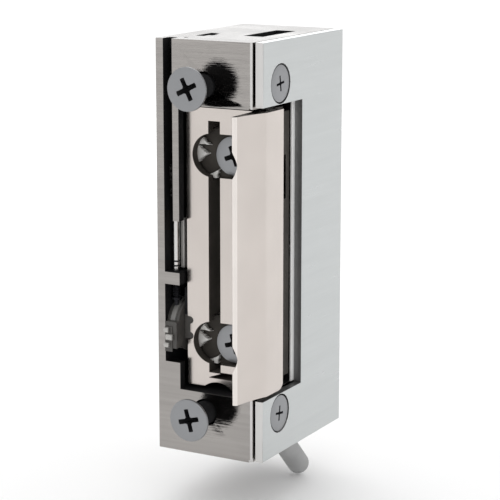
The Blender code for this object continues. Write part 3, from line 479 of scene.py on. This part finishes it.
def make_case():
    bm = bm_of_node("case")
    # The window over the knob is drawn a little taller than the CAD's.
    cad_window_top, window_top = -6.3, -5.85
    for vert in bm.verts:
        if abs(vert.co.z / MM - cad_window_top) < 0.02:
            vert.co.z = window_top * MM

    def along_front_right(edge):
        where = middle(edge)
        near = abs(where.x - CASE.high.x) < 0.01 and abs(where.y - CASE.low.y) < 0.01
        return near and abs(spans(edge).z) > 5

    def on_outside(point):
        return (
            abs(point.x - CASE.low.x) < 0.02
            or abs(point.y - CASE.high.y) < 0.02
            or abs(point.y - CASE.low.y) < 0.02
            or abs(abs(point.z) - CASE.high.z) < 0.02
        )

    front_right_r, edge_r = 0.5, 0.14
    soften(bm, front_right_r, along_front_right, segments=4)
    soften(bm, edge_r, lambda edge: is_corner(edge, 1.5) and on_outside(middle(edge)))
    front_skin = CASE.low.y + 0.6
    recess_floor = CASE.high.z - 2
    inside_low = CASE.low.x + 0.3, CASE.low.y + 0.65, CASE.low.z + 0.3
    inside_high = CASE.high.x + 1, CASE.high.y - 0.3, CASE.high.z - 0.3

    def is_inside(face, centre, normal):
        if on_outside(centre) and max(abs(n) for n in normal) > 0.99:
            return False
        if normal.x > 0.9 and centre.x > CASE.high.x - 0.02:
            return False
        if normal.y < -0.5 and centre.y < front_skin:
            return False
        if normal.z > 0.9 and centre.z > CASE.high.z - 0.1:
            return False
        if all(low < value < high for low, value, high in zip(inside_low, centre, inside_high)):
            return True
        return (
            abs(normal.z) < 0.5
            and centre.z > recess_floor
            and CASE.low.x + 0.5 < centre.x < CASE.high.x - 0.3
            and front_skin < centre.y < CASE.high.y - 0.5
        )

    def is_rounded_edge(face, centre, normal):
        near = centre.x > CASE.high.x - 0.6 and centre.y < CASE.low.y + 0.6
        return near and normal.x > 0.25 and normal.y < -0.25

    # Faces inside the case are painted near black: painted shade.
    paint(bm, 1, is_inside)
    # The rounded front-right edge is painted brighter: a painted highlight.
    paint(bm, 2, is_rounded_edge)
    add_bay_rim()
    extra = ("inside_painted_shade", "edge_painted_light")
    return add_piece("case_shell", bm, "frame", "case_steel", ("case",), extra=extra)


def add_bay_rim():
    """A near-white strip in the gap beside the cover's window, against the bay's rear wall: painted light for
    that wall's lit edge.
    """
    window_back, half, rim_width, gap = 13.48, 22.8, 0.98, 0.02
    left, right = CASE.high.x + gap, COVER.low.x - gap
    bm = block((left, window_back - rim_width, -half), (right, window_back + 0.3, half))
    soften(bm, 0.04, lambda edge: is_corner(edge, 1.0))
    # The whole strip is painted near white: painted light.
    paint(bm, 1, lambda face, centre, normal: True)
    return add_piece("bay_rim_painted_light", bm, "frame", "cover_steel", extra=("rim_painted_light",))


def make_cover():
    bm = bm_of_node("cover_plate")
    rim = {0: (COVER.high.x,), 1: (COVER.low.y, COVER.high.y), 2: (COVER.low.z, COVER.high.z)}

    def on_rim(edge):
        where = middle(edge)
        hits = sum(any(abs(where[axis] - level) < 0.02 for level in levels) for axis, levels in rim.items())
        return hits >= 2 and is_corner(edge, 1.5)

    soften(bm, 0.2, on_rim, segments=3)

    def window_wall(face, centre, normal):
        inner = COVER.low.y + 0.3 < centre.y < COVER.high.y - 0.3 and abs(centre.z) < COVER.high.z - 0.3
        return inner and abs(normal.x) < 0.5

    paint(bm, 1, window_wall)
    # The cover's front edge is painted brighter: painted light.
    paint(bm, 2, lambda face, centre, normal: normal.y < -0.5 and centre.y < COVER.low.y + 0.25)
    extra = ("cut_edge", "edge_painted_light")
    return add_piece("cover_shell", bm, "frame", "cover_steel", ("cover_plate",), extra=extra)


def make_keeper_base():
    bm = bm_of_node("keeper_base")
    soften(bm, 0.25, lambda edge: is_corner(edge, 3.0), segments=2)
    # The block's front faces are painted pale: painted light.
    paint(bm, 1, lambda face, centre, normal: normal.y < -0.9)
    return add_piece("keeper_block", bm, "keeper", "dark_casting", ("keeper_base",), extra=("base_front_painted_light",))


def make_lip():
    """The plate and the leaning wall in one plan outline, then their holes, slot, notch and rounded foot."""
    plate_front, plate_back = 1.8, 5.6
    wall_in, wall_out, wall_back = 7.9, LIP.high.x, LIP.high.y
    crease = (wall_out, 1.3)
    nose_r = 0.45
    nose = (8.42, LIP.low.y + 0.05 + nose_r)
    edge_r = 0.1
    root_r = 0.7
    outline = arc((LIP.low.x + edge_r, plate_front + edge_r), edge_r, 180, 270, 5)
    outline += arc((wall_in - root_r, plate_front - root_r), root_r, 90, 8, 6)
    outline += arc(nose, nose_r, 188, 345, 12)
    slant_start, slant_sag = outline.pop(), 0.2
    outline += bow(slant_start, crease, slant_sag, 12)
    outline += arc((wall_out - 0.25, wall_back - 0.25), 0.25, 0, 90, 4)
    outline += [(8.8, wall_back), (8.8, plate_back), (LIP.low.x + 0.1, plate_back)]
    lip = solid(outline_solid(outline, LIP.low.z, LIP.high.z))
    before, behind = plate_front - 1, plate_back + 1
    before_wall = LIP.low.y - 2
    seat_front, seat_margin = 3.3, 0.77
    cutters = []
    for level in (HOLE_LEVEL, -HOLE_LEVEL):
        hole, seat = obround(*HOLE_ENDS, level, HOLE_R), obround(*HOLE_ENDS, level, HOLE_R + seat_margin)
        cutters.append(outline_solid(hole, before_wall, seat_front + 0.7, "Y"))
        cutters.append(outline_solid(seat, seat_front, behind, "Y"))
    left, right, low, high = -0.2, 1.9, LIP.low.z + 2.34, LIP.high.z - 2.0
    cutters.append(block((left, before, low), (right, behind, high)))
    slot_right = 6.4
    foot_slot = [(left, low - 0.79), (right - 0.4, low - 0.14), (right, low), (right, low + 0.2)]
    foot_slot += [(slot_right, low + 0.2), (slot_right, low - 0.89), (left, low - 0.89)]
    cutters.append(outline_solid(foot_slot, before, behind, "Y"))
    foot_arch, arch_r = (1.36, -25.1), 3.75
    cutters.append(outline_solid(arc(foot_arch, arch_r, 0, 350, 48), before, behind, "Y"))
    notch_left, notch_right, notch_top = LIP.low.x - 1, COMB_SPINE_RIGHT + 0.1, COMB_LEVELS[-1] + 0.6
    notch = [(notch_left, COMB.low.z - 0.1), (notch_right, COMB.low.z - 0.1)]
    for level in COMB_LEVELS:
        notch += arc((COMB.high.x - COMB_TOOTH_HALF, level), COMB_TOOTH_HALF + 0.08, -90, 90, 10)
    notch += [(notch_right, notch_top), (notch_left, notch_top)]
    cutters.append(outline_solid(notch, before, behind, "Y"))
    corner_r = 1.6
    corner = (wall_back - corner_r, LIP.low.z + corner_r)
    foot = [(wall_back + 1, LIP.low.z - 1), (wall_back + 1, corner[1])] + arc(corner, corner_r, 0, -90, 10)
    foot.append((corner[0], LIP.low.z - 1))
    cutters.append(outline_solid(foot, 6.5, wall_out + 1, "X"))
    bm = bm_of_mesh(combined(lip, [solid(cutter) for cutter in cutters]))
    bmesh.ops.dissolve_limit(bm, angle_limit=math.radians(0.3), verts=bm.verts, edges=bm.edges)
    soften(bm, 0.07, lambda edge: is_corner(edge, 0.3, 55.0), segments=2)

    def bore_wall(face, centre, normal):
        inside = plate_front + 0.1 < centre.y < plate_back and LIP.low.x + 0.05 < centre.x < wall_in
        return inside and LIP.low.z + 0.05 < centre.z < LIP.high.z - 0.05 and abs(normal.y) < 0.4

    # The bores' walls are painted dark: painted shade.
    paint(bm, 1, bore_wall)
    # The nose is painted paler: a painted highlight.
    paint(bm, 2, lambda face, centre, normal: centre.y < nose[1] - 0.1 and normal.y < -0.3)
    extra = ("bore_painted_shade", "nose_painted_highlight")
    return add_piece("strike_lip", bm, "lip", "lip_steel", ("keeper_lip",), sharp=30.0, extra=extra)


# Screws -------------------------------------------------------------------------------------------


def cross_cutter(place, reach, width, depth):
    """A tapered cross, wide at the head's face and narrow below it, with a small fillet between its arms."""
    bm = bmesh.new()
    half = width / 2
    rings = []
    for height, arm, side in ((0.3, reach, half), (0.0, reach, half), (-depth, reach * 0.5, half * 0.75)):
        ring = []
        for quarter in range(4):
            turn = Matrix.Rotation(math.radians(90 * quarter), 3, "Z")
            fillet, start = side * 1.25, side * 1.55
            shape = [(arm, -side), (arm * 1.04, 0), (arm, side)]
            shape += [(start, side), (fillet, fillet), (side, start)]
            ring += [bm.verts.new(turn @ Vector((x, y, height)) * MM) for x, y in shape]
        rings.append(ring)
    bm.faces.new(rings[0])
    for upper, lower in zip(rings, rings[1:]):
        for i in range(len(upper)):
            j = (i + 1) % len(upper)
            bm.faces.new((upper[i], lower[i], lower[j], upper[j]))
    tip = bm.verts.new((0, 0, -depth * 1.35 * MM))
    last = rings[-1]
    for i in range(len(last)):
        bm.faces.new((last[i], tip, last[(i + 1) % len(last)]))
    bmesh.ops.recalc_face_normals(bm, faces=bm.faces)
    bmesh.ops.transform(bm, matrix=place, verts=bm.verts)
    return bm


def screw(node, body, direction, spin, head_r, rim, shaft_r, cone, pitch, reach, width):
    """A countersunk screw in the place of its CAD node, with a cross recess and a rolled thread."""
    size = Box(node)
    way = Vector(direction)
    axis = max(range(3), key=lambda i: abs(way[i]))
    top = Vector(size.centre)
    top[axis] = size.high[axis] if way[axis] > 0 else size.low[axis]
    length = size.size[axis]
    place = facing(top, direction, spin)
    chamfer = 0.12
    rows = [(0, 0), (head_r * 0.5, 0), (head_r - chamfer, 0), (head_r - 0.03, -0.04)]
    rows += [(head_r, -chamfer), (head_r, -rim)]
    neck = -rim - cone
    rows += [(shaft_r, neck), (shaft_r, neck - 0.2)]
    per_turn = 8
    thread_top, thread_end = neck - 0.3, -length + 0.4
    count = int((thread_top - thread_end) / pitch * per_turn)
    rows += [(shaft_r, thread_top + (thread_end - thread_top) * i / count) for i in range(count + 1)]
    rows += [(shaft_r * 0.8, -length), (0, -length)]
    depth = pitch * 0.5

    def threaded(radius, height, turn):
        if not thread_end <= height <= thread_top or radius != shaft_r:
            return radius
        wave = (height / pitch + turn / math.tau) % 1.0
        return radius - depth * (1 - abs(2 * wave - 1))

    body_shape = solid(lathe(rows, place, 48, threaded))
    recess = solid(cross_cutter(place, reach, width, reach * 0.75))
    bm = bm_of_mesh(combined(body_shape, [recess]))
    back = place.inverted()

    def in_recess(face, centre, normal):
        local = back @ (centre * MM) / MM
        return -reach * 1.2 < local.z < -0.03 and math.hypot(local.x, local.y) < reach * 1.02

    def below_rim(face, centre, normal):
        return (back @ (centre * MM) / MM).z < -rim - 0.03

    # The cross recess is painted near black (painted shade), and the cone and shank under the head darker
    # still (painted shade under the head).
    paint(bm, 1, in_recess)
    paint(bm, 2, below_rim)
    return add_piece(f"{node}_cut", bm, body, "screw_zinc", (node,), 30.0, ("recess_painted_shade", "under_head_painted_shade"))


def make_screws():
    """The six large screws. The fixing screws' heads are drawn a little smaller than the CAD's."""
    front, right = (0, -1, 0), (1, 0, 0)
    fixing = dict(head_r=3.4, rim=0.35, shaft_r=1.9, cone=1.5, pitch=0.7, reach=1.8, width=0.78)
    clamping = dict(head_r=3.1, rim=0.45, shaft_r=1.5, cone=0.9, pitch=0.5, reach=1.6, width=0.74)
    covering = dict(head_r=2.9, rim=0.55, shaft_r=1.4, cone=0.1, pitch=0.5, reach=1.2, width=0.38)
    for end, spin, lip_spin, cover_spin in (("top", 26.0, 20.0, 8.0), ("bottom", 15.0, 15.0, -8.0)):
        screw(f"mounting_screw_{end}", "frame", front, spin, **fixing)
        screw(f"lip_screw_{end}", "keeper", front, lip_spin, **clamping)
        screw(f"cover_screw_{end}", "frame", right, cover_spin, **covering)


# Clamp inserts ------------------------------------------------------------------------------------


# A clamp insert's teeth: where each starts and stops, in degrees round the insert from +X towards +Z.
INSERT_TEETH = [(138, 161), (161, 204), (243, 268), (-42, -20), (-20, 24), (70, 88)]


def make_insert(end, level):
    """A dished obround washer: bright teeth that narrow inwards from its rim, and painted shade between them.
    """
    node = f"clamp_insert_{end}"
    size = Box(node)
    outer_r = size.size.z / 2
    front, back = size.low.y, size.high.y
    steps = 240
    slot_ends, slot_r = (1.6, 4.15), 1.9
    middles = sum(HOLE_ENDS) / 2, sum(slot_ends) / 2
    full, point = 0.98, 0.3
    dish = 0.85
    rows = [(0.0, 1.3), (0.0, dish)] + [(point + (full - point) * i / 10, dish) for i in range(11)]
    rows += [(1.0, dish), (1.0, back - front), (0.0, back - front)]

    def ridge(turn, share):
        """1 on a tooth and 0 in a groove, with a short slope between them. A tooth narrows inwards."""
        if not point < share <= full:
            return 0.0
        width = (share - point) / (full - point)
        for start, stop in INSERT_TEETH:
            away = (turn - (start + stop) / 2 + 180.0) % 360.0 - 180.0
            past = abs(away) - (stop - start) / 2 * width
            if past < 1.5:
                return 1.0 - max(0.0, past) / 1.5
        return 0.0

    bm = bmesh.new()
    rings = []
    for share, depth in rows:
        ring = []
        for i in range(steps):
            turn = 360.0 * i / steps
            way = Vector((math.cos(math.radians(turn)), math.sin(math.radians(turn))))
            side = 0 if abs(way.x) < 1e-9 else int(math.copysign(1, way.x))
            ends = (HOLE_ENDS, slot_ends)
            shift = [middles[j] + side * (right - left) / 2 for j, (left, right) in enumerate(ends)]
            inner = Vector((shift[1], level)) + way * slot_r
            outer = Vector((shift[0], level)) + way * outer_r
            x, z = inner.lerp(outer, share)
            rise = 0.75 * ridge(turn, share) if depth == dish else 0.0
            ring.append(bm.verts.new(Vector((x, front + depth - rise, z)) * MM))
        rings.append(ring)
    for k, (a, b) in enumerate(zip(rings, rings[1:] + rings[:1])):
        share = max(rows[k][0], rows[(k + 1) % len(rows)][0])
        for i in range(steps):
            j = (i + 1) % steps
            face = bm.faces.new((a[i], a[j], b[j], b[i]))
            turn = 360.0 * (i + 0.5) / steps
            # All but the teeth's tops are painted dark: painted shade.
            face.material_index = 0 if 2 <= k <= 11 and ridge(turn, share) > 0.9 else 1
    bmesh.ops.recalc_face_normals(bm, faces=bm.faces)
    return add_piece(f"serrated_insert_{end}", bm, "lip", "insert_steel", (node,), 20.0, ("bore_painted_shade",))


# Manual release -----------------------------------------------------------------------------------


DRUM_CENTRE = Vector((4.6, -13.0))


def drum_place():
    """Own +Z along the drum's axle, towards the keeper."""
    return facing((0, *DRUM_CENTRE), (1, 0, 0))


def make_knob():
    """A grooved drum with a paler band and a flange, and the block that carries the pad.

    The drum is drawn a little longer and larger than the CAD's.
    """
    left, right = DRUM.low.x - 0.4, DRUM.high.x
    bore_r, groove_r, band_r, flange_r = 1.1, 4.1, 4.25, 4.4
    band = (right - 1.7, right - 0.9)
    rows = [(bore_r, right), (flange_r - 0.15, right), (flange_r, right - 0.1), (flange_r, right - 0.5)]
    rows += [(groove_r, right - 0.6), (groove_r, band[1] + 0.08), (band_r, band[1]), (band_r, band[0])]
    rows += [(groove_r, band[0] - 0.08), (groove_r, left), (bore_r, left)]
    rows.append(rows[0])
    bm = lathe(rows, drum_place(), 72)
    bmesh.ops.remove_doubles(bm, verts=bm.verts, dist=0.0005 * MM)

    def on_band(face, centre, normal):
        return band[0] - 0.04 < centre.x < band[1] + 0.04 and (centre.yz - DRUM_CENTRE).length > band_r - 0.1

    paint(bm, 1, on_band)
    drum = add_piece("release_drum", bm, "knob", "release_dark", ("release_knob",), extra=("knob_band",))
    front, low, high = PAD.high.y, -16.2, -11.8
    lever = [(front, high), (1.2, high), (2.0, high - 1), (2.0, low + 0.6), (1.3, low), (front, low)]
    bm = outline_solid(lever, DRUM.low.x, right - 0.02, "X")
    soften(bm, 0.15, lambda edge: is_corner(edge, 0.5, 20.0), segments=3)
    add_piece("release_block", bm, "knob", "release_dark")
    return drum


def make_pad():
    """A thin plate with three rounded ribs across it, the middle one set to the right."""
    front, back = PAD.low.y, PAD.high.y
    plate_front = back - 0.15
    ribs = []
    r = 0.22
    # Each rib's low and high edges, how far it is set in from the pad's left end, and its right end.
    rib_rows = [(-13.58, -12.76, 0.0, -6.13), (-14.76, -13.8, 0.35, -5.43), (-16.0, -15.22, 0.0, -6.06)]
    for low, high, left, right in rib_rows:
        rib = [(plate_front + 0.05, low)] + arc((front + r, low + r), r, 270, 180, 4)
        rib += arc((front + r, high - r), r, 180, 90, 4) + [(plate_front + 0.05, high)]
        bm = outline_solid(rib, PAD.low.x + left, right, "X")
        soften(bm, 0.1, lambda edge: is_corner(edge, 0.5, 60.0), segments=2)
        ribs.append(solid(bm))
    plate = solid(block((PAD.low.x + 0.02, plate_front, PAD.low.z), (-5.62, back, PAD.high.z)))
    bm = bm_of_mesh(combined(plate, ribs, "UNION"))
    paint(bm, 1, lambda face, centre, normal: centre.y > plate_front - 0.02)
    return add_piece("ribbed_pad", bm, "knob", "release_light", ("release_pad",), extra=("release_dark",))


def make_comb():
    """An arm beside the knob whose two rounded teeth show in the plate's notch."""
    arm_right = COMB.low.x + 0.4
    outline = [(arm_right, COMB.high.z), (COMB.low.x, COMB.high.z), (COMB.low.x, COMB.low.z)]
    for level in COMB_LEVELS:
        outline += arc((COMB.high.x - COMB_TOOTH_HALF, level), COMB_TOOTH_HALF, -90, 90, 16)
        outline.append((COMB_SPINE_RIGHT, level + COMB_TOOTH_HALF))
        if level != COMB_LEVELS[-1]:
            outline.append((COMB_SPINE_RIGHT, COMB_LEVELS[-1] - COMB_TOOTH_HALF))
    outline.append((arm_right, COMB_LEVELS[-1] + COMB_TOOTH_HALF))
    bm = outline_solid(outline, COMB.low.y, COMB.high.y, "Y")
    soften(bm, 0.06, lambda edge: is_corner(edge, 0.3, 60.0))
    shade_level = COMB_LEVELS[-1] + 0.8
    everything = bm.verts[:] + bm.edges[:] + bm.faces[:]
    bmesh.ops.bisect_plane(bm, geom=everything, plane_co=(0, 0, shade_level * MM), plane_no=(0, 0, 1))
    # The arm above the teeth is painted near black: painted shade.
    paint(bm, 1, lambda face, centre, normal: centre.z > shade_level)
    return add_piece("rounded_comb", bm, "frame", "release_dark", ("release_comb",), extra=("inside_painted_shade",))


def make_plunger():
    """A bright pin with two ring grooves above the bridge and a foot under it; the grooves and the foot are
    painted dark as shade.
    """
    place = Matrix.Translation(Vector((PLUNGER.centre.x, PLUNGER.centre.y, 0)) * MM)
    r, foot_r = PLUNGER.size.x / 2, 0.35
    top, low, shoulder = PLUNGER.high.z, PLUNGER.low.z, -6.0
    rows = [(0, top), (r - 0.15, top), (r - 0.04, top - 0.05), (r, top - 0.15)]
    grooves = (-2.25, -3.0)
    for groove in grooves:
        rows += [(r, groove), (r - 0.14, groove - 0.05), (r - 0.14, groove - 0.22), (r, groove - 0.27)]
    rows += [(r, shoulder), (foot_r, shoulder - 0.05), (foot_r, low + 0.05), (foot_r - 0.05, low), (0, low)]
    bm = lathe(rows, place, 40)
    # The foot under the bridge and the ring grooves are painted near black: painted shade.
    paint(bm, 1, lambda face, centre, normal: centre.z < shoulder + 0.5)
    for groove in grooves:
        paint(bm, 1, lambda face, centre, normal: groove - 0.25 < centre.z < groove - 0.02)
    return add_piece("grooved_plunger", bm, "plunger", "axle_steel", ("plunger_pin",), 50.0, ("recess_painted_shade",))


def make_guide():
    bm = bm_of_node("plunger_guide")
    soften(bm, 0.08, lambda edge: is_corner(edge, 0.4, 40.0))
    return add_piece("guide_bar", bm, "frame", "release_light", ("plunger_guide",))


# Outlet tongue ------------------------------------------------------------------------------------


def make_tongue():
    """A round bar with a ball end, down and back at 45 degrees."""
    size = Box("outlet_tongue")
    radius = size.size.x / 2
    ball = Vector((size.centre.x, size.high.y - radius, size.low.z + radius))
    rise = Vector((0, -1, 1)).normalized()
    reach = (ball.y - size.low.y) / -rise.y - radius * 0.4
    turns = [math.radians(7.5 * i) for i in range(1, 13)]
    rows = [(0, radius)] + [(radius * math.sin(turn), radius * math.cos(turn)) for turn in turns]
    rows += [(radius, -reach * i / 6) for i in range(1, 7)] + [(0, -reach)]
    bm = lathe(rows, facing(ball, -rise), 64)
    return add_piece("rounded_tongue", bm, "frame", "grey_moulding", ("outlet_tongue",))


# Studio -------------------------------------------------------------------------------------------


def make_floor():
    """A plain sheet of pale paper."""
    half, level = 0.42, CAD_BOX[0].z - 0.0002
    bm = bmesh.new()
    corners = [bm.verts.new((x * half, y * half, level)) for x, y in ((-1, -1), (1, -1), (1, 1), (-1, 1))]
    bm.faces.new(corners)
    mesh = bpy.data.meshes.new("floor")
    bm.to_mesh(mesh)
    bm.free()
    paper = Recipe("floor_paper", (0.95, 0.95, 0.95), 0.0, 0.9)
    mesh.materials.append(paper.tint(paper.noise([40.0] * 3), 0.995, 1.005).material)
    floor = bpy.data.objects.new("floor", mesh)
    bpy.context.scene.collection.objects.link(floor)


def make_lights():
    def softbox(name, place, target, size, power):
        data = bpy.data.lights.new(name, "AREA")
        data.shape = "SQUARE"
        data.size = size
        data.energy = power
        light = bpy.data.objects.new(name, data)
        bpy.context.scene.collection.objects.link(light)
        light.location = place
        light.rotation_euler = (Vector(target) - Vector(place)).to_track_quat("-Z", "Y").to_euler()

    softbox("back_box", (-0.3, 0.6, 0.5), (0.0, 0.02, 0.0), 0.9, 3.4)


def make_world():
    """Soft studio air, brighter behind and above than in front, and white below the horizon."""
    world = bpy.data.worlds.new("studio")
    world.use_nodes = True
    tree = world.node_tree
    way = tree.nodes.new("ShaderNodeTexCoord").outputs["Generated"]

    def spread_along(direction, ends, levels):
        dot = tree.nodes.new("ShaderNodeVectorMath")
        dot.operation = "DOT_PRODUCT"
        dot.inputs[1].default_value = direction
        tree.links.new(way, dot.inputs[0])
        spread = tree.nodes.new("ShaderNodeMapRange")
        spread.interpolation_type = "SMOOTHSTEP"
        for name, value in zip(("From Min", "From Max", "To Min", "To Max"), (*ends, *levels)):
            spread.inputs[name].default_value = value
        tree.links.new(dot.outputs["Value"], spread.inputs["Value"])
        return spread.outputs["Result"]

    air = spread_along((-0.42, 0.74, 0.52), (-1.0, 1.0), (0.62, 1.0))
    horizon = spread_along((0.0, 0.0, 1.0), (-0.02, 0.06), (1.0, 0.0))
    mix = tree.nodes.new("ShaderNodeMix")
    mix.inputs["B"].default_value = 1.1
    tree.links.new(horizon, mix.inputs["Factor"])
    tree.links.new(air, mix.inputs["A"])
    tree.links.new(mix.outputs["Result"], tree.nodes["Background"].inputs["Strength"])
    tree.nodes["Background"].inputs["Color"].default_value = (1.0, 1.0, 1.0, 1.0)
    bpy.context.scene.world = world


def make_camera():
    """A long lens to the front right and a little above, as in the photograph."""
    yaw, pitch = math.radians(29.166), math.radians(11.37)
    look = Vector((-math.sin(yaw) * math.cos(pitch), math.cos(yaw) * math.cos(pitch), -math.sin(pitch)))
    data = bpy.data.cameras.new("camera")
    data.sensor_width = 36.0
    data.lens = 131.17
    data.shift_y = -0.05
    data.clip_start, data.clip_end = 0.01, 10.0
    camera = bpy.data.objects.new("camera", data)
    camera.location = Vector((141.42, -238.68, 60.08)) * MM
    camera.rotation_euler = look.to_track_quat("-Z", "Y").to_euler()
    bpy.context.scene.collection.objects.link(camera)
    bpy.context.scene.camera = camera


def dress_nodes():
    """Every CAD node keeps its slot and gets the slot's full material."""
    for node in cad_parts.values():
        slot = node.data.materials[0].name.split(".")[0]
        node.data.materials[0] = MATERIALS[slot]


dress_nodes()
make_case()
make_cover()
make_keeper_base()
make_lip()
make_screws()
make_insert("top", HOLE_LEVEL)
make_insert("bottom", -HOLE_LEVEL)
make_knob()
make_pad()
make_comb()
make_plunger()
make_guide()
make_tongue()
make_floor()
make_lights()
make_world()
make_camera()
bpy.context.scene.view_settings.view_transform = "Standard"
